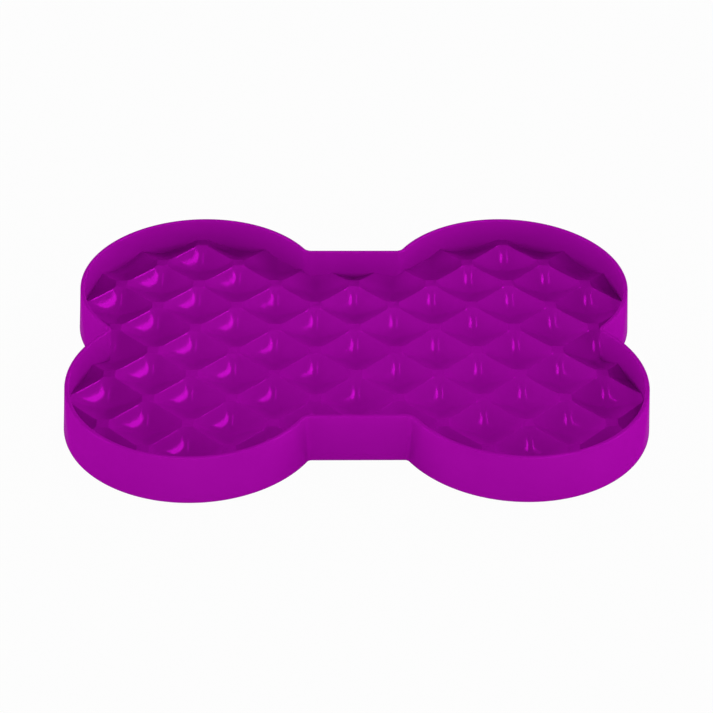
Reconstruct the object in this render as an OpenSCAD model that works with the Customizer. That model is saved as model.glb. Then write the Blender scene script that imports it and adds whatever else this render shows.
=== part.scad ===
// Bone-shaped lick mat: one moulded tray with a quilted floor, on four plug-in rubber feet.
// X runs along the bone, Y across it, and Z is up from the surface that the feet stand on.

/* [Outline] */
// Length over the lobes, at the foot of the wall
tray_l = 295; // [260:1:330]
// Width over the lobes, at the foot of the wall
tray_w = 221.5; // [205:0.5:240]
// Radius of each lobe, at the foot of the wall
lobe_r = 66; // [62:0.5:70]
// Width of the waist, at the foot of the wall
waist_w = 155.5; // [140:0.5:165]

/* [Wall] */
// Height of the wall from its foot to the rim
wall_h = 25.5; // [20:0.5:32]
// Thickness of the wall
wall_t = 2.2; // [1.6:0.1:3]
// How far the wall leans in between its foot and the rim
wall_lean = 2; // [0.5:0.1:3]
// Chamfer along both edges of the rim
rim_chamfer = 0.5; // [0.2:0.1:0.7]

/* [Floor] */
// Distance between neighbouring peaks along the bone
pitch = 42; // [38:0.5:46]
// Radius of the round bowls
bowl_r = 33; // [30:0.5:38]
// Height of the bowls' lowest points above the foot of the wall
bowl_rise = 6.7; // [5.5:0.1:8]
// Half width of the flat top of each peak
peak_flat = 3.4; // [2.5:0.1:4]
// Thickness of the floor
floor_t = 2; // [1.6:0.1:2.4]

/* [Feet] */
// Diameter of a foot's disc
foot_d = 17; // [14:0.5:20]
// Thickness of a foot's disc
foot_h = 2.4; // [2:0.1:2.8]
// How far a foot stands below the wall
foot_stand = 0.8; // [0.4:0.1:1.2]
// Diameter of a foot's stem
stem_d = 7.8; // [6:0.1:9]
// Room left above a foot's stem
stem_room = 0.5; // [0.2:0.1:1]
// Chamfer round the ends of a foot
foot_chamfer = 0.7; // [0.3:0.1:1]
// Wall of a foot's socket
socket_t = 2; // [1.5:0.1:2.5]
// Clearance all round a stem in its socket
socket_gap = 0.1; // [0.05:0.05:0.2]

/* [Hidden] */
$fn = 96;
// Overrun of the cuts
over = 1;
plastic = [0.55, 0.03, 0.55];
rubber = [0.12, 0.12, 0.13];

lobe_x = tray_l / 2 - lobe_r;
lobe_y = tray_w / 2 - lobe_r;
rim_z = foot_stand + wall_h;
step = pitch / 2;

// Levels of the floor
bowl_z = foot_stand + bowl_rise;
centre_z = bowl_z + bowl_r;
// Radius of a bowl's mouth between the flat peaks
mouth_r = step - peak_flat;
peak_z = ball_z(mouth_r);
under_z = bowl_z - floor_t;
// Height at which the bowls' cutters end, between the flat peaks and the points that they would have
cut_z = (peak_z + ball_z(step)) / 2;

// Hollow under each peak, whose sloping side keeps the floor's thickness to the bowls round it
core_share = 0.57;
core_tip_share = 0.15;
core_r = step * core_share;
core_tip_r = step * core_tip_share;
core_slope = tan(2 * atan((step - core_r) / (bowl_r + floor_t)));

// Steps out from the middle to the furthest bowls
reach_x = ceil(tray_l / pitch);
reach_y = ceil(tray_w / pitch);

// Steps from the middle to the peak that holds a foot
foot_steps = [4, 3];
socket_r = stem_d / 2 + socket_gap;
sleeve_r = socket_r + socket_t;
sleeve_z = (core_z(socket_r) + ball_z(step - sleeve_r)) / 2;
stem_z = core_z(socket_r) - stem_room;

// Height of a bowl at a distance from its middle
function ball_z(d) = centre_z - sqrt(bowl_r * bowl_r - d * d);

// Height at which a hollow has a radius
function core_z(r) = under_z + (core_r - r) * core_slope;

// How far the wall's outer face has leaned in at a height
function lean(z) = wall_lean * (z - foot_stand) / wall_h;

// Whether a place lies over the lobes and waist, with a margin all round
function over_lobe(x, y, m) = norm([abs(x) - lobe_x, abs(y) - lobe_y]) < lobe_r + m;
function over_waist(x, y, m) = abs(x) < lobe_x && abs(y) < waist_w / 2 + m;
function over_bone(x, y, m) = over_lobe(x, y, m) || over_waist(x, y, m);

// Middles of the bowls that open inside the wall, on a diagonal lattice
function bowl_places() = [
    for (i = [-reach_x : reach_x], j = [-reach_y : reach_y])
        if ((i + j) % 2 == 0 && over_bone(i * step, j * step, mouth_r - wall_t)) [i * step, j * step]
];

// Middles of the peaks that stand clear of the wall
function peak_places() = [
    for (i = [-reach_x : reach_x], j = [-reach_y : reach_y])
        if ((i + j) % 2 != 0 && over_bone(i * step, j * step, -core_r - 2 * wall_t)) [i * step, j * step]
];

// Four lobes and a waist between two heights, drawn in by an inset at each height
module bone(z1, z2, inset1, inset2) {
    y1 = waist_w / 2 - inset1;
    y2 = waist_w / 2 - inset2;
    for (sx = [-1, 1], sy = [-1, 1])
        translate([sx * lobe_x, sy * lobe_y, z1])
            cylinder(h = z2 - z1, r1 = lobe_r - inset1, r2 = lobe_r - inset2);
    translate([-lobe_x, 0, 0])
        rotate([90, 0, 90])
            linear_extrude(height = 2 * lobe_x)
                polygon([[-y1, z1], [y1, z1], [y2, z2], [-y2, z2]]);
}

// The bone at the wall's own lean, moved in from the outer face
module leaning_bone(z1, z2, inset) {
    bone(z1, z2, inset + lean(z1), inset + lean(z2));
}

module wall() {
    shoulder_z = rim_z - rim_chamfer;
    difference() {
        union() {
            leaning_bone(foot_stand, shoulder_z, 0);
            bone(shoulder_z, rim_z, lean(shoulder_z), lean(rim_z) + rim_chamfer);
        }
        leaning_bone(foot_stand - over, rim_z + over, wall_t);
        bone(shoulder_z, rim_z, wall_t + lean(shoulder_z), wall_t + lean(rim_z) - rim_chamfer);
    }
}

// The bottom of a ball, which cuts one bowl
module bowl_cap() {
    intersection() {
        translate([0, 0, centre_z])
            sphere(r = bowl_r);
        translate([0, 0, under_z])
            cylinder(h = cut_z - under_z, r = step);
    }
}

// A cone that hollows out one peak from below
module core() {
    translate([0, 0, under_z - over])
        cylinder(
            h = core_z(core_tip_r) - under_z + over,
            r1 = core_r + over / core_slope,
            r2 = core_tip_r
        );
}

// The quilted floor, let into the wall by half the wall's thickness
module quilted_floor() {
    difference() {
        leaning_bone(under_z, peak_z, wall_t / 2);
        for (p = bowl_places())
            translate([p[0], p[1], 0])
                bowl_cap();
        for (p = peak_places())
            translate([p[0], p[1], 0])
                core();
    }
}

module at_foot(sx, sy) {
    translate([sx * foot_steps[0] * step, sy * foot_steps[1] * step, 0])
        children();
}

// A sleeve in the hollow of a peak for a foot's stem, run up into the floor round the hollow
module sleeve() {
    translate([0, 0, foot_h])
        difference() {
            cylinder(h = sleeve_z - foot_h, r = sleeve_r);
            translate([0, 0, -over])
                cylinder(h = sleeve_z - foot_h + 2 * over, r = socket_r);
        }
}

module tray() {
    color(plastic)
        union() {
            wall();
            quilted_floor();
            for (sx = [-1, 1], sy = [-1, 1])
                at_foot(sx, sy)
                    sleeve();
        }
}

// A disc with a stem on top, turned from one outline
module foot() {
    disc_r = foot_d / 2;
    stem_r = stem_d / 2;
    color(rubber)
        rotate_extrude()
            polygon([
                [0, 0],
                [disc_r - foot_chamfer, 0],
                [disc_r, foot_chamfer],
                [disc_r, foot_h],
                [stem_r, foot_h],
                [stem_r, stem_z - foot_chamfer],
                [stem_r - foot_chamfer, stem_z],
                [0, stem_z],
            ]);
}

module foot_front_left() {
    at_foot(-1, -1)
        foot();
}

module foot_front_right() {
    at_foot(1, -1)
        foot();
}

module foot_rear_left() {
    at_foot(-1, 1)
        foot();
}

module foot_rear_right() {
    at_foot(1, 1)
        foot();
}

tray();
foot_front_left();
foot_front_right();
foot_rear_left();
foot_rear_right();
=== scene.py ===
import math

import bmesh
import bpy
from mathutils import Matrix, Vector


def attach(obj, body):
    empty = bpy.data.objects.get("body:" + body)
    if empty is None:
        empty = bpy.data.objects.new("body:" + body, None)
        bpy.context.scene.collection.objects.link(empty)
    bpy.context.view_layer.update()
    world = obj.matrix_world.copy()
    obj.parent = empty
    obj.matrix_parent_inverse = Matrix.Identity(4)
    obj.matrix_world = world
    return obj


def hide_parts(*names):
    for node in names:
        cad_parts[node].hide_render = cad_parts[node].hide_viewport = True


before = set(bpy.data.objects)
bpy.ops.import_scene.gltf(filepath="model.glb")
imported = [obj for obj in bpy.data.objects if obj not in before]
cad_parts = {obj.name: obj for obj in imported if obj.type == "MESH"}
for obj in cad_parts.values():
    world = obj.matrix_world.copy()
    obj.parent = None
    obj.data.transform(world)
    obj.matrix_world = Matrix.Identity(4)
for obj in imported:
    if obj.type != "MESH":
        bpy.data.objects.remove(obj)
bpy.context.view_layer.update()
print("frame loaded")

millimetre = 0.001


def mm(value):
    return value * millimetre


# Camera at the photo's viewing angle, with its back axis pointing from the target to the eye
camera = {
    "azimuth": -1.43,
    "elevation": 35.11,
    "roll": 0.75,
    "distance": 1.11045,
    "lens": 106.42,
    "sensor": 36.0,
    "target": (0.000703, 0.011289, 0.0008),
}


def makeCamera(settings):
    azimuth = math.radians(settings["azimuth"])
    elevation = math.radians(settings["elevation"])
    roll = math.radians(settings["roll"])
    back = Vector((
        math.sin(azimuth) * math.cos(elevation),
        -math.cos(azimuth) * math.cos(elevation),
        math.sin(elevation),
    ))
    level = Vector((math.cos(azimuth), math.sin(azimuth), 0))
    upright = back.cross(level)
    right = level * math.cos(roll) + upright * math.sin(roll)
    up = upright * math.cos(roll) - level * math.sin(roll)
    place = Vector(settings["target"]) + back * settings["distance"]
    lensData = bpy.data.cameras.new("camera")
    lensData.lens = settings["lens"]
    lensData.sensor_width = settings["sensor"]
    holder = bpy.data.objects.new("camera", lensData)
    turn = Matrix((right, up, back)).transposed().to_4x4()
    holder.matrix_world = Matrix.Translation(place) @ turn
    bpy.context.scene.collection.objects.link(holder)
    bpy.context.scene.camera = holder


makeCamera(camera)
print("camera placed")


# Helpers for working in edit mode, and the limits that they choose by
limits = {
    # how far a place may lie from where it is looked for, and how close two count as one,
    # in millimetres
    "near": 0.01,
    "same": 0.001,
    # smallest angle of an edge that is rounded, in radians
    "sharp": 1.0,
    # how upright the normal of a level face is
    "level": 0.9,
}


def startFresh():
    if bpy.context.mode != "OBJECT":
        bpy.ops.object.mode_set(mode="OBJECT")
    bpy.ops.object.select_all(action="DESELECT")


def makeActive(piece):
    startFresh()
    piece.select_set(True)
    bpy.context.view_layer.objects.active = piece


def pick(piece, kind, test):
    # selects the vertices, edges or faces that pass a test, and leaves edit mode on
    makeActive(piece)
    bpy.ops.object.mode_set(mode="EDIT")
    bpy.ops.mesh.select_mode(type=kind)
    bpy.ops.mesh.select_all(action="DESELECT")
    mesh = bmesh.from_edit_mesh(piece.data)
    found = {"VERT": mesh.verts, "EDGE": mesh.edges, "FACE": mesh.faces}[kind]
    for item in found:
        if test(item):
            item.select_set(True)
    mesh.select_flush_mode()
    bmesh.update_edit_mesh(piece.data)


def newest(name):
    piece = bpy.context.object
    piece.name = name
    piece.data.name = name
    bpy.ops.object.transform_apply(location=True, rotation=True, scale=True)
    return piece


def applyModifier(piece, kind, **settings):
    makeActive(piece)
    modifier = piece.modifiers.new(kind.lower(), kind)
    for key, value in settings.items():
        setattr(modifier, key, value)
    bpy.ops.object.modifier_apply(modifier=modifier.name)


def combine(piece, tool, operation):
    applyModifier(piece, "BOOLEAN", object=tool, operation=operation, solver="MANIFOLD")
    bpy.data.objects.remove(tool)
    print("  ", operation.lower(), piece.name, len(piece.data.polygons), "faces")


def joinPieces(piece, others):
    makeActive(piece)
    for other in others:
        other.select_set(True)
    bpy.ops.object.join()


def copyTo(piece, name, x, y):
    copy = piece.copy()
    copy.data = piece.data.copy()
    copy.name = name
    copy.data.name = name
    copy.data.transform(Matrix.Translation((x, y, 0)))
    bpy.context.scene.collection.objects.link(copy)
    return copy


# The bone outline and the wall round it, in millimetres
wallShape = {
    "length": 295.0,
    "width": 221.5,
    "lobeRadius": 66.0,
    "waistWidth": 155.5,
    "foot": 0.8,
    "height": 25.5,
    "thickness": 2.2,
    "lean": 2.0,
    "arcSteps": 128,
    "waistFillet": 1.3,
    "endFillet": 0.9,
    "filletSteps": 5,
    "rimRound": 0.8,
    "rimSteps": 5,
    "footRound": 0.35,
    "footSteps": 2,
    # the small face that an outline starts from, and how close its ends and corners are looked for
    "seed": 0.66,
    "joinGap": 0.0132,
    "cornerReach": 0.066,
}


def lobePlace(wall):
    # radius of the lobes, and how far their middles lie from the tray's own
    radius = mm(wall["lobeRadius"])
    return radius, mm(wall["length"]) / 2 - radius, mm(wall["width"]) / 2 - radius


def boneFace(name, shape):
    # one flat face with the outline of the wall's foot
    radius, lobeX, lobeY = lobePlace(shape)
    waistY = mm(shape["waistWidth"]) / 2
    level = mm(shape["foot"])
    notchX = lobeX + math.sqrt(radius ** 2 - lobeY ** 2)
    sweep = math.pi - math.asin((waistY - lobeY) / radius) + math.asin(lobeY / radius)
    startFresh()
    bpy.ops.mesh.primitive_plane_add(size=mm(shape["seed"]), location=(notchX, 0, level))
    face = newest(name)
    bpy.ops.object.mode_set(mode="EDIT")
    bpy.ops.mesh.select_mode(type="VERT")
    bpy.ops.mesh.merge(type="CENTER")
    bpy.ops.mesh.spin(
        steps=shape["arcSteps"], angle=-sweep, center=(lobeX, lobeY, level), axis=(0, 0, 1)
    )
    cornerX = lobeX - math.sqrt(radius ** 2 - (waistY - lobeY) ** 2)
    bpy.ops.mesh.extrude_region_move(TRANSFORM_OT_translate={"value": (-cornerX, 0, 0)})
    bpy.ops.object.mode_set(mode="OBJECT")
    joinGap = mm(shape["joinGap"])
    applyModifier(face, "MIRROR", use_axis=(True, True, False), merge_threshold=joinGap)
    bpy.ops.object.mode_set(mode="EDIT")
    bpy.ops.mesh.select_all(action="SELECT")
    bpy.ops.mesh.edge_face_add()
    near = mm(shape["cornerReach"])

    def isWaistCorner(vertex):
        return abs(abs(vertex.co.x) - cornerX) < near and abs(abs(vertex.co.y) - waistY) < near

    def isEndNotch(vertex):
        return abs(abs(vertex.co.x) - notchX) < near and abs(vertex.co.y) < near

    pick(face, "VERT", isWaistCorner)
    bpy.ops.mesh.bevel(
        offset=mm(shape["waistFillet"]), segments=shape["filletSteps"], affect="VERTICES"
    )
    pick(face, "VERT", isEndNotch)
    bpy.ops.mesh.bevel(
        offset=mm(shape["endFillet"]), segments=shape["filletSteps"], affect="VERTICES"
    )
    bpy.ops.mesh.select_mode(type="FACE")
    bpy.ops.mesh.select_all(action="SELECT")
    bpy.ops.mesh.normals_make_consistent(inside=False)
    mesh = bmesh.from_edit_mesh(face.data)
    if mesh.faces[:][0].normal.z < 0:
        bpy.ops.mesh.flip_normals()
    bpy.ops.object.mode_set(mode="OBJECT")
    return face


def insetFace(thickness, depth=0.0):
    bpy.ops.mesh.inset(
        thickness=mm(thickness), depth=mm(depth), use_even_offset=True, use_boundary=True
    )


def roundEdges(offset, steps, **settings):
    bpy.ops.mesh.bevel(offset=mm(offset), segments=steps, profile=0.5, affect="EDGES", **settings)


def boneBlock(name, shape, bottom, top, inset):
    # a solid bone between two heights, moved in from the outer face and leaning with it
    slope = shape["lean"] / shape["height"]
    block = boneFace(name, shape)
    low = bottom - shape["foot"]
    high = top - shape["foot"]
    pick(block, "FACE", lambda face: True)
    insetFace(inset + slope * low)
    pick(block, "FACE", lambda face: len(face.verts) == 4)
    bpy.ops.mesh.delete(type="FACE")
    pick(block, "FACE", lambda face: True)
    bpy.ops.transform.translate(value=(0, 0, mm(low)))
    insetFace(slope * (high - low), high - low)
    pick(block, "EDGE", lambda edge: edge.is_boundary)
    bpy.ops.mesh.edge_face_add()
    bpy.ops.mesh.select_all(action="SELECT")
    bpy.ops.mesh.normals_make_consistent(inside=False)
    bpy.ops.object.mode_set(mode="OBJECT")
    return block


def wallRing(shape):
    # outer face and rim from one outline, foot from another, bridged by the inner face
    ring = boneFace("tray", shape)
    pick(ring, "FACE", lambda face: True)
    insetFace(shape["lean"], shape["height"])
    insetFace(shape["thickness"])
    bpy.ops.mesh.delete(type="FACE")
    base = boneFace("footRing", shape)
    pick(base, "FACE", lambda face: True)
    insetFace(shape["thickness"])
    bpy.ops.mesh.delete(type="FACE")
    bpy.ops.mesh.select_all(action="SELECT")
    bpy.ops.mesh.flip_normals()
    joinPieces(ring, [base])
    bpy.ops.object.mode_set(mode="EDIT")
    bpy.ops.mesh.select_all(action="SELECT")
    bpy.ops.mesh.remove_doubles(threshold=mm(limits["same"]))
    pick(ring, "EDGE", lambda edge: edge.is_boundary)
    bpy.ops.mesh.bridge_edge_loops()
    bpy.ops.mesh.select_all(action="SELECT")
    bpy.ops.mesh.normals_make_consistent(inside=False)
    bpy.ops.object.mode_set(mode="OBJECT")
    bottom = mm(shape["foot"])
    top = mm(shape["foot"] + shape["height"])

    def isRound(level):
        def test(edge):
            flat = all(abs(vertex.co.z - level) < mm(limits["near"]) for vertex in edge.verts)
            return flat and len(edge.link_faces) == 2 and edge.calc_face_angle() > limits["sharp"]
        return test

    pick(ring, "EDGE", isRound(top))
    roundEdges(shape["rimRound"], shape["rimSteps"])
    pick(ring, "EDGE", isRound(bottom))
    roundEdges(shape["footRound"], shape["footSteps"])
    bpy.ops.object.mode_set(mode="OBJECT")
    return ring


# The quilted floor: bowls on a lattice turned by 45 degrees, with ridges and peaks between them.
# The cores are the hollows under the peaks.
floorShape = {
    "pitch": 42.0,
    "bowlLow": 7.2,
    "ridgeRise": 5.3,
    "squareness": 4.6,
    "bottomRound": 0.65,
    # what the bowls' corners rise towards a peak, and how far that reaches from it
    "peakSwell": 1.1,
    "peakReach": 2.45,
    "peakTop": 13.0,
    "underside": 5.5,
    "tileSteps": 28,
    "tiles": 11,
    "ridgeRound": 0.22,
    "ridgeSteps": 3,
    "ridgeSlack": 0.02,
    # how far tiles are kept past the lobes, and which middle stretch keeps them all
    "spareShare": 0.25,
    "waistShare": 0.6,
    # depth of the block under the bowls before it is trimmed, and overrun of the hollows' cutters
    "spareDepth": 10.0,
    "overrun": 1.0,
    "coreRadius": 11.97,
    "coreTip": 3.15,
    "coreHeight": 4.87,
    "coreRound": 1.2,
    "coreSteps": 4,
    "coreSides": 64,
    "coreSharp": 0.3,
}


def bowlLevel(shape, across, along):
    # height in a bowl with nearly flat sides, a round bottom and corners that steepen towards
    # the peaks, from shares of the way to its ridges
    power, soft = shape["squareness"], shape["bottomRound"]
    reach = (across ** power + along ** power) ** (1 / power)
    climb = (math.hypot(reach, soft) - soft) / (math.hypot(1, soft) - soft)
    toPeak = math.hypot(1 - across, 1 - along) * shape["pitch"] / math.sqrt(8)
    swell = shape["peakSwell"] * math.exp(-(toPeak / shape["peakReach"]) ** 2 / 2)
    return shape["bowlLow"] + shape["ridgeRise"] * climb + swell


def bowlTiles(shape):
    # one square tile raised to its ridges and peaks, then repeated over the whole floor
    side = mm(shape["pitch"]) / math.sqrt(2)
    step = mm(shape["pitch"]) / 2
    reach = (shape["tiles"] - 1) // 2
    startFresh()
    bpy.ops.mesh.primitive_grid_add(
        x_subdivisions=shape["tileSteps"],
        y_subdivisions=shape["tileSteps"],
        size=side,
        rotation=(0, 0, math.radians(45)),
    )
    for vertex in bpy.context.object.data.vertices:
        across, along = (abs(value) / (side / 2) for value in vertex.co.xy)
        vertex.co.z = mm(bowlLevel(shape, across, along))
    tiles = newest("bowlTiles")
    bpy.ops.object.mode_set(mode="EDIT")
    bpy.ops.mesh.select_all(action="SELECT")
    bpy.ops.transform.translate(value=(-2 * reach * step, 0, 0))
    bpy.ops.object.mode_set(mode="OBJECT")
    for across in (1, -1):
        applyModifier(
            tiles,
            "ARRAY",
            count=shape["tiles"],
            use_relative_offset=False,
            use_constant_offset=True,
            constant_offset_displace=(step, across * step, 0),
            use_merge_vertices=True,
            merge_threshold=mm(limits["near"]),
        )
    return tiles


def onRidge(shape):
    # whether both ends of an edge lie on one ridge line of the turned lattice
    side = mm(shape["pitch"]) / math.sqrt(2)
    slack = mm(shape["ridgeSlack"])

    def offRidge(place, axis):
        along = (place.x + axis * place.y) / math.sqrt(2) / side - 0.5
        return abs(along - round(along)) * side

    def test(edge):
        ends = [vertex.co for vertex in edge.verts]
        return any(all(offRidge(end, axis) < slack for end in ends) for axis in (1, -1))

    return test


def quiltedFloor(shape, wall):
    # the tiles over the bone, closed to a block below and cut to the wall and the peaks' flat tops
    block = bowlTiles(shape)
    radius, lobeX, lobeY = lobePlace(wall)
    margin = radius + mm(shape["pitch"]) * shape["spareShare"]

    def isOutside(face):
        middle = face.calc_center_median()
        clearOfLobes = math.hypot(abs(middle.x) - lobeX, abs(middle.y) - lobeY) > margin
        return clearOfLobes and abs(middle.x) > lobeX * shape["waistShare"]

    pick(block, "FACE", isOutside)
    bpy.ops.mesh.delete(type="FACE")
    ridge = onRidge(shape)
    pick(block, "EDGE", lambda edge: not edge.is_boundary and ridge(edge))
    roundEdges(shape["ridgeRound"], shape["ridgeSteps"], clamp_overlap=False)
    pick(block, "EDGE", lambda edge: edge.is_boundary)
    depth = mm(shape["bowlLow"] + shape["spareDepth"])
    bpy.ops.mesh.extrude_region_move(TRANSFORM_OT_translate={"value": (0, 0, -depth)})
    bpy.ops.transform.resize(value=(1, 1, 0))
    bpy.ops.mesh.edge_face_add()
    bpy.ops.mesh.select_all(action="SELECT")
    bpy.ops.mesh.normals_make_consistent(inside=False)
    bpy.ops.object.mode_set(mode="OBJECT")
    trim = boneBlock("trim", wall, shape["underside"], shape["peakTop"], wall["thickness"] / 2)
    combine(block, trim, "INTERSECT")
    return block


def hollowCore(shape, wall):
    # one cone under a peak, copied to every peak that stands clear of the wall
    step = mm(shape["pitch"]) / 2
    slope = shape["coreHeight"] / (shape["coreRadius"] - shape["coreTip"])
    low = shape["underside"]
    overrun = shape["overrun"]
    height = shape["coreHeight"] + overrun
    startFresh()
    bpy.ops.mesh.primitive_cone_add(
        vertices=shape["coreSides"],
        radius1=mm(shape["coreRadius"] + overrun / slope),
        radius2=mm(shape["coreTip"]),
        depth=mm(height),
        location=(0, 0, mm(low - overrun + height / 2)),
    )
    core = newest("core")

    def isTipEdge(edge):
        isHigh = min(vertex.co.z for vertex in edge.verts) > mm(low)
        return isHigh and edge.calc_face_angle() > shape["coreSharp"]

    pick(core, "EDGE", isTipEdge)
    roundEdges(shape["coreRound"], shape["coreSteps"])
    bpy.ops.object.mode_set(mode="OBJECT")
    radius, lobeX, lobeY = lobePlace(wall)
    margin = mm(shape["coreRadius"] + 2 * wall["thickness"])

    def isClear(x, y):
        inLobe = math.hypot(abs(x) - lobeX, abs(y) - lobeY) < radius - margin
        inWaist = abs(x) < lobeX and abs(y) < mm(wall["waistWidth"]) / 2 - margin
        return inLobe or inWaist

    reach = math.ceil(wall["length"] / shape["pitch"])
    copies = []
    for i in range(-reach, reach + 1):
        for j in range(-reach, reach + 1):
            if (i + j) % 2 and isClear(i * step, j * step):
                copies.append(copyTo(core, "core", i * step, j * step))
    first = copies.pop()
    joinPieces(first, copies)
    bpy.data.objects.remove(core)
    return first


# The sleeves under the tray and the rubber feet that plug into them
footShape = {
    "steps": (4, 3),
    "discRadius": 8.5,
    "discHeight": 2.4,
    "discSides": 96,
    "edgeRound": 0.7,
    "edgeSteps": 4,
    "stemRadius": 3.9,
    "stemTop": 9.39,
    "ringInner": 3.4,
    "ringOuter": 5.4,
    "ringDepth": 0.35,
    "ringSlope": 0.25,
    "ringSpare": 0.05,
    "sleeveInner": 4.0,
    "sleeveOuter": 6.0,
    "sleeveTop": 10.3,
    "sleeveSides": 64,
    "sleeveRound": 0.3,
    "sleeveSteps": 2,
}


def footPlaces(shape, quilt):
    step = mm(quilt["pitch"]) / 2
    return {
        row + "_" + side: (across * shape["steps"][0] * step, along * shape["steps"][1] * step)
        for row, along in (("front", -1), ("rear", 1))
        for side, across in (("left", -1), ("right", 1))
    }


def sleeveTube(shape):
    # a cylinder bored through by insetting both ends and bridging them
    low, high = mm(shape["discHeight"]), mm(shape["sleeveTop"])
    startFresh()
    bpy.ops.mesh.primitive_cylinder_add(
        vertices=shape["sleeveSides"],
        radius=mm(shape["sleeveOuter"]),
        depth=high - low,
        location=(0, 0, (low + high) / 2),
    )
    tube = newest("sleeve")
    pick(tube, "FACE", lambda face: abs(face.normal.z) > limits["level"])
    insetFace(shape["sleeveOuter"] - shape["sleeveInner"])
    bpy.ops.mesh.bridge_edge_loops()

    def isLowEdge(edge):
        isLow = all(vertex.co.z < low + mm(limits["near"]) for vertex in edge.verts)
        return isLow and edge.calc_face_angle() > limits["sharp"]

    pick(tube, "EDGE", isLowEdge)
    roundEdges(shape["sleeveRound"], shape["sleeveSteps"])
    bpy.ops.object.mode_set(mode="OBJECT")
    return tube


def rubberFoot(shape):
    # a disc with a ring groove underneath, drawn up into a round-ended stem
    disc, height = mm(shape["discRadius"]), mm(shape["discHeight"])
    startFresh()
    bpy.ops.mesh.primitive_cylinder_add(
        vertices=shape["discSides"], radius=disc, depth=height, location=(0, 0, height / 2)
    )
    foot = newest("foot")
    pick(foot, "FACE", lambda face: face.normal.z > limits["level"])
    insetFace(shape["discRadius"] - shape["stemRadius"])
    rise = mm(shape["stemTop"] - shape["discHeight"])
    bpy.ops.mesh.extrude_region_move(TRANSFORM_OT_translate={"value": (0, 0, rise)})
    pick(foot, "FACE", lambda face: face.normal.z < -limits["level"])
    insetFace(shape["discRadius"] - shape["ringOuter"])
    insetFace(shape["ringOuter"] - shape["ringInner"])
    inner = mm(shape["ringInner"] - shape["ringSpare"])
    outer = mm(shape["ringOuter"] + shape["ringSpare"])

    def isGroove(face):
        reaches = [math.hypot(vertex.co.x, vertex.co.y) for vertex in face.verts]
        inRing = inner < min(reaches) and max(reaches) < outer
        return inRing and face.normal.z < -limits["level"] and len(face.verts) == 4

    pick(foot, "FACE", isGroove)
    insetFace(shape["ringSlope"])
    bpy.ops.transform.translate(value=(0, 0, mm(shape["ringDepth"])))
    top, near = mm(shape["stemTop"]), mm(limits["near"])

    def isEdge(edge):
        rims = [(math.hypot(vertex.co.x, vertex.co.y), vertex.co.z) for vertex in edge.verts]
        onDisc = all(abs(reach - disc) < near for reach, level in rims)
        onStem = all(abs(level - top) < near for reach, level in rims)
        return (onDisc or onStem) and edge.calc_face_angle() > limits["sharp"]

    pick(foot, "EDGE", isEdge)
    roundEdges(shape["edgeRound"], shape["edgeSteps"])
    bpy.ops.object.mode_set(mode="OBJECT")
    return foot


tray = wallRing(wallShape)
print("wall made", len(tray.data.polygons), "faces")
quilt = quiltedFloor(floorShape, wallShape)
combine(quilt, hollowCore(floorShape, wallShape), "DIFFERENCE")
print("floor made", len(quilt.data.polygons), "faces")
combine(tray, quilt, "UNION")
tube = sleeveTube(footShape)
foot = rubberFoot(footShape)
feet = []
for place, (x, y) in footPlaces(footShape, floorShape).items():
    combine(tray, copyTo(tube, "sleeve_" + place, x, y), "UNION")
    feet.append(copyTo(foot, "foot_" + place + "_rubber", x, y))
bpy.data.objects.remove(tube)
bpy.data.objects.remove(foot)
tray.name = "tray_moulding"
print("tray made", len(tray.data.polygons), "faces")


# Finishes
speckleShape = {
    "cloudDetail": 3.0,
    "grainDetail": 4.0,
    # parts of the cloud's range that the colours and the roughness are spread over
    "colourRange": (0.35, 0.65),
    "roughRange": (0.3, 0.7),
}


def speckleGroup(shape):
    # soft cloudy mask and fine surface height, both from place on the object
    group = bpy.data.node_groups.new("surfaceSpeckle", "ShaderNodeTree")
    parts = ("Cloud", "Grain")
    group.interface.new_socket("Place", in_out="INPUT", socket_type="NodeSocketVector")
    for part in parts:
        group.interface.new_socket(part + " Scale", in_out="INPUT", socket_type="NodeSocketFloat")
        group.interface.new_socket(part, in_out="OUTPUT", socket_type="NodeSocketFloat")
    nodes, links = group.nodes, group.links
    start = nodes.new("NodeGroupInput")
    end = nodes.new("NodeGroupOutput")
    for part in parts:
        noise = nodes.new("ShaderNodeTexNoise")
        noise.inputs["Detail"].default_value = shape[part.lower() + "Detail"]
        links.new(start.outputs["Place"], noise.inputs["Vector"])
        links.new(start.outputs[part + " Scale"], noise.inputs["Scale"])
        links.new(noise.outputs["Fac"], end.inputs[part])
    return group


def newMaterial(name):
    material = bpy.data.materials.new(name)
    material.use_nodes = True
    nodes = material.node_tree.nodes
    return material, nodes, material.node_tree.links, nodes["Principled BSDF"]


def colourRamp(nodes, places, colours):
    ramp = nodes.new("ShaderNodeValToRGB")
    for stop, place, colour in zip(ramp.color_ramp.elements, places, colours):
        stop.position = place
        stop.color = (*colour, 1)
    return ramp


plasticFinish = {
    "dark": (0.352, 0.0026, 0.352),
    "light": (0.368, 0.0032, 0.368),
    "roughLow": 0.11,
    "roughHigh": 0.135,
    "metallic": 0.09,
    "tint": (1.0, 0.1, 1.0),
    "cloudScale": 28.0,
    "grainScale": 1400.0,
    "grainDepth": 0.000006,
    "smoothAngle": 30,
}
rubberFinish = {
    "dark": (0.010, 0.010, 0.011),
    "light": (0.022, 0.022, 0.024),
    "roughLow": 0.62,
    "roughHigh": 0.82,
    "cloudScale": 160.0,
    "grainScale": 2600.0,
    "grainDepth": 0.00004,
    "ior": 1.5,
    "smoothAngle": 35,
}
speckle = speckleGroup(speckleShape)


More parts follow.
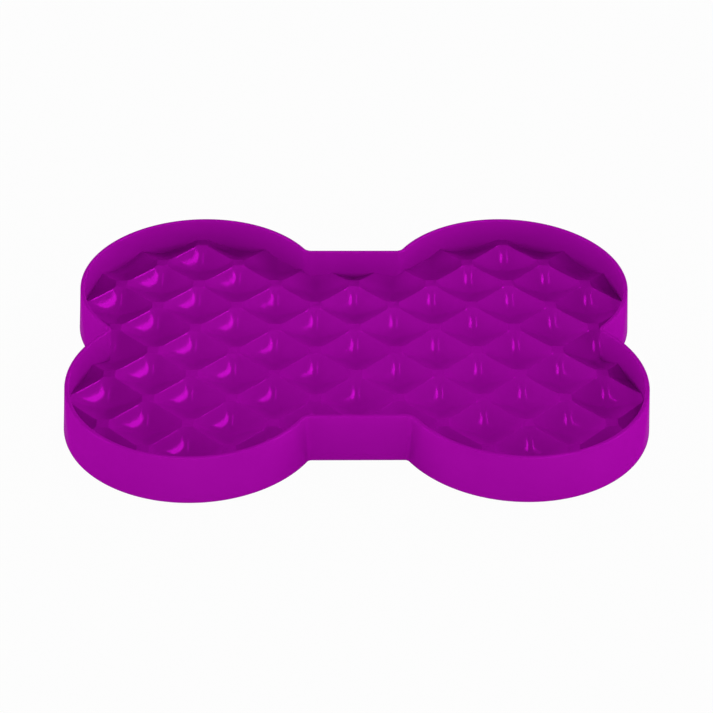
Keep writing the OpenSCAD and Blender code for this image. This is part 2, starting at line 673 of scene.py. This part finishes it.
def speckledFinish(name, finish):
    material, nodes, links, shader = newMaterial(name)
    place = nodes.new("ShaderNodeTexCoord")
    mask = nodes.new("ShaderNodeGroup")
    mask.node_tree = speckle
    mask.inputs["Cloud Scale"].default_value = finish["cloudScale"]
    mask.inputs["Grain Scale"].default_value = finish["grainScale"]
    ramp = colourRamp(nodes, speckleShape["colourRange"], (finish["dark"], finish["light"]))
    rough = nodes.new("ShaderNodeMapRange")
    roughFrom, roughTo = speckleShape["roughRange"]
    rough.inputs["From Min"].default_value = roughFrom
    rough.inputs["From Max"].default_value = roughTo
    rough.inputs["To Min"].default_value = finish["roughLow"]
    rough.inputs["To Max"].default_value = finish["roughHigh"]
    bump = nodes.new("ShaderNodeBump")
    bump.inputs["Distance"].default_value = finish["grainDepth"]
    links.new(place.outputs["Object"], mask.inputs["Place"])
    links.new(mask.outputs["Cloud"], ramp.inputs["Fac"])
    links.new(mask.outputs["Cloud"], rough.inputs["Value"])
    links.new(mask.outputs["Grain"], bump.inputs["Height"])
    links.new(ramp.outputs["Color"], shader.inputs["Base Color"])
    links.new(rough.outputs["Result"], shader.inputs["Roughness"])
    links.new(bump.outputs["Normal"], shader.inputs["Normal"])
    return material, shader


plastic, plasticShader = speckledFinish("purple_plastic", plasticFinish)
plasticShader.inputs["Metallic"].default_value = plasticFinish["metallic"]
plasticShader.inputs["Specular IOR Level"].default_value = 0.0
plasticShader.inputs["Specular Tint"].default_value = (*plasticFinish["tint"], 1)
rubber, rubberShader = speckledFinish("foot_rubber", rubberFinish)
rubberShader.inputs["IOR"].default_value = rubberFinish["ior"]
print("finishes made")


def dress(piece, material, node, angle):
    piece.data.materials.clear()
    piece.data.materials.append(material)
    makeActive(piece)
    bpy.ops.object.shade_smooth_by_angle(angle=math.radians(angle))
    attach(piece, "root")
    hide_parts(node)


dress(tray, plastic, "tray", plasticFinish["smoothAngle"])
for footPiece in feet:
    node = footPiece.name.removesuffix("_rubber")
    dress(footPiece, rubber, node, rubberFinish["smoothAngle"])
print("pieces dressed")


# White floor and surround, soft lamps in front and at both sides, and a panel and a strip
# overhead
studio = {
    "floorSize": 12.0,
    "floorColour": (0.45, 0.45, 0.45),
    "floorRoughness": 0.9,
    # how much of the floor is plain white where it is seen; the rest keeps the tray's shadow
    "floorWhite": 0.97,
    # brightness of the surround overhead, what its horizon adds, and how fast that fades upwards
    "overhead": 0.23,
    "horizon": 3.0,
    "fade": 3.0,
    # each faces the tray's middle, turned in degrees about the way up
    "lamps": {
        "softLamp": {
            "place": (1.16, -2.32, 1.5), "size": (2.0, 2.0), "turn": 0.0, "glow": 1.1,
        },
        "leftLamp": {
            "place": (-3.0, -0.6, 0.7), "size": (1.6, 1.2), "turn": 0.0, "glow": 3.3,
        },
        "rightLamp": {
            "place": (3.0, -0.6, 0.7), "size": (1.6, 1.2), "turn": 0.0, "glow": 3.3,
        },
        "brightPanel": {
            "place": (1.98, 2.36, 6.0), "size": (1.0, 1.8), "turn": -28.0, "glow": 9.5,
        },
        "dimStrip": {
            "place": (-1.2, 2.16, 6.0), "size": (0.36, 1.7), "turn": 7.0, "glow": 7.5,
        },
    },
}


def seenRay(nodes, links):
    # one for rays from the camera and for those that bounce off or pass through a surface
    path = nodes.new("ShaderNodeLightPath")
    bounced = nodes.new("ShaderNodeMath")
    bounced.operation = "MAXIMUM"
    seen = nodes.new("ShaderNodeMath")
    seen.operation = "MAXIMUM"
    links.new(path.outputs["Is Glossy Ray"], bounced.inputs[0])
    links.new(path.outputs["Is Transmission Ray"], bounced.inputs[1])
    links.new(bounced.outputs["Value"], seen.inputs[0])
    links.new(path.outputs["Is Camera Ray"], seen.inputs[1])
    return seen.outputs["Value"]


def makeFloor(settings):
    startFresh()
    bpy.ops.mesh.primitive_plane_add(size=settings["floorSize"])
    ground = newest("studioFloor")
    material, nodes, links, shader = newMaterial("studio_floor")
    shader.inputs["Base Color"].default_value = (*settings["floorColour"], 1)
    shader.inputs["Roughness"].default_value = settings["floorRoughness"]
    shader.inputs["Specular IOR Level"].default_value = 0.0
    share = nodes.new("ShaderNodeMath")
    share.operation = "MULTIPLY"
    share.inputs[1].default_value = settings["floorWhite"]
    white = nodes.new("ShaderNodeEmission")
    white.inputs["Color"].default_value = (1, 1, 1, 1)
    white.inputs["Strength"].default_value = 1.0
    mix = nodes.new("ShaderNodeMixShader")
    links.new(seenRay(nodes, links), share.inputs[0])
    links.new(share.outputs["Value"], mix.inputs["Fac"])
    links.new(shader.outputs["BSDF"], mix.inputs[1])
    links.new(white.outputs["Emission"], mix.inputs[2])
    links.new(mix.outputs["Shader"], nodes["Material Output"].inputs["Surface"])
    ground.data.materials.append(material)


def makeWorld(settings):
    world = bpy.data.worlds.new("studio")
    bpy.context.scene.world = world
    world.use_nodes = True
    nodes, links = world.node_tree.nodes, world.node_tree.links
    nodes.clear()
    direction = nodes.new("ShaderNodeTexCoord")
    parts = nodes.new("ShaderNodeSeparateXYZ")
    lowness = nodes.new("ShaderNodeMapRange")
    lowness.inputs["To Min"].default_value = 1.0
    lowness.inputs["To Max"].default_value = 0.0
    fade = nodes.new("ShaderNodeMath")
    fade.operation = "POWER"
    fade.inputs[1].default_value = settings["fade"]
    level = nodes.new("ShaderNodeMath")
    level.operation = "MULTIPLY_ADD"
    level.inputs[1].default_value = settings["horizon"]
    level.inputs[2].default_value = settings["overhead"]
    soft = nodes.new("ShaderNodeBackground")
    soft.inputs["Color"].default_value = (1, 1, 1, 1)
    white = nodes.new("ShaderNodeBackground")
    white.inputs["Color"].default_value = (1, 1, 1, 1)
    white.inputs["Strength"].default_value = 1.0
    mix = nodes.new("ShaderNodeMixShader")
    output = nodes.new("ShaderNodeOutputWorld")
    links.new(direction.outputs["Generated"], parts.inputs["Vector"])
    links.new(parts.outputs["Z"], lowness.inputs["Value"])
    links.new(lowness.outputs["Result"], fade.inputs[0])
    links.new(fade.outputs["Value"], level.inputs[0])
    links.new(level.outputs["Value"], soft.inputs["Strength"])
    links.new(seenRay(nodes, links), mix.inputs["Fac"])
    links.new(soft.outputs["Background"], mix.inputs[1])
    links.new(white.outputs["Background"], mix.inputs[2])
    links.new(mix.outputs["Shader"], output.inputs["Surface"])


def makeLamp(name, settings):
    # a rectangle facing the tray whose brightness is a glow per area, as seen in a reflection
    width, length = settings["size"]
    lamp = bpy.data.lights.new(name, "AREA")
    lamp.shape = "RECTANGLE"
    lamp.size = width
    lamp.size_y = length
    lamp.energy = settings["glow"] * math.pi * width * length
    holder = bpy.data.objects.new(name, lamp)
    turn = math.radians(settings["turn"])
    outward = Vector(settings["place"]).normalized()
    across = Vector((-math.sin(turn), math.cos(turn), 0)).cross(outward).normalized()
    aim = Matrix((across, outward.cross(across), outward)).transposed().to_4x4()
    holder.matrix_world = Matrix.Translation(settings["place"]) @ aim
    bpy.context.scene.collection.objects.link(holder)


makeFloor(studio)
makeWorld(studio)
for name, settings in studio["lamps"].items():
    makeLamp(name, settings)
bpy.context.scene.view_settings.view_transform = "Standard"
print("studio made")
